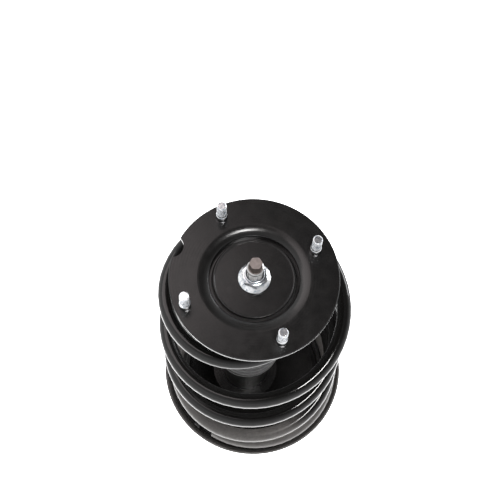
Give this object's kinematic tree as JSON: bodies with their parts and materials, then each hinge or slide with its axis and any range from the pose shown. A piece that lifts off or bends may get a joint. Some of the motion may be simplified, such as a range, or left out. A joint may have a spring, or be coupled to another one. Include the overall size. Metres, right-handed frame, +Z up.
{
  "type": "suspension strut",
  "caption": "Strut with an offset coil spring: studded top plate, rubber mount, swivel bearing, pleated boot, damper tube and knuckle clevis.",
  "frame": {"origin": "centre of the studs' circle on the top mount plate's upper face; the piston rod's axis stands 2.8 mm to +X and 0.4 mm to +Y of it", "axes": "+Z up along the piston rod, out of the studded face; +Y points towards the knuckle clevis"},
  "size_m": [0.1852, 0.1852, 0.5529],
  "materials": {
    "black_paint": "satin black coat over pressed steel",
    "gloss_black_paint": "gloss black coat over drawn tube",
    "spring_paint": "semi-gloss black powder coat",
    "zinc": "bright zinc plate",
    "steel": "plain rolled steel",
    "ground_rod": "ground and plated, bare at the tip",
    "bearing_steel": "polished",
    "black_rubber": "matte",
    "foam": "microcellular foam",
    "boot_plastic": "satin moulded",
    "black_plastic": "moulded",
    "white_plastic": "natural nylon",
    "sintered_iron": "sintered",
    "bronze": "lined bush"
  },
  "bodies": {
    "mount": {"top_mount_plate": "black_paint", "mount_studs": "zinc", "mount_cup": "black_paint", "mount_rubber": "black_rubber", "inner_sleeve": "steel", "rebound_washer": "black_paint", "rod_nut": "zinc", "piston_rod": "ground_rod", "bearing_upper_race": "black_plastic", "bump_stop_cup": "black_paint", "bump_stop": "foam", "rebound_bumper": "black_rubber", "rebound_retainer": "steel", "compression_discs": "bearing_steel", "piston": "sintered_iron", "piston_ring": "white_plastic", "rebound_discs": "bearing_steel", "piston_nut": "steel"},
    "bearing_cage": {"bearing_balls": "bearing_steel", "bearing_cage": "white_plastic"},
    "spring_seat": {"bearing_lower_race": "black_plastic", "bearing_shield": "black_plastic", "upper_spring_seat": "black_paint", "upper_isolator": "black_rubber", "coil_spring": "spring_paint", "dust_boot": "boot_plastic"},
    "strut_body": {"lower_isolator": "black_rubber", "lower_spring_seat": "black_paint", "strut_tube": "gloss_black_paint", "tube_cap": "steel", "rod_seal": "black_rubber", "rod_guide": "sintered_iron", "guide_bush": "bronze", "pressure_cylinder": "steel", "base_valve": "sintered_iron", "base_cap": "steel", "knuckle_bracket": "black_paint", "link_bracket": "black_paint", "hose_bracket": "black_paint"}
  },
  "joints": [
    {"name": "steer_swivel", "type": "hinge", "parent": "mount", "child": "spring_seat", "pos_m": [0.0028, 0.0004, 0], "axis": [0, 0, 1], "continuous": true},
    {"name": "cage_turn", "type": "hinge", "parent": "mount", "child": "bearing_cage", "pos_m": [0.0028, 0.0004, 0], "axis": [0, 0, 1], "continuous": true},
    {"name": "strut_travel", "type": "slide", "parent": "spring_seat", "child": "strut_body", "axis": [0, 0, 1], "range_m": [0, 0.13], "deforming": ["coil_spring", "dust_boot", "bump_stop"]}
  ],
  "couplings": [
    {"joint": "cage_turn", "follows": "steer_swivel", "ratio": 0.5}
  ]
}
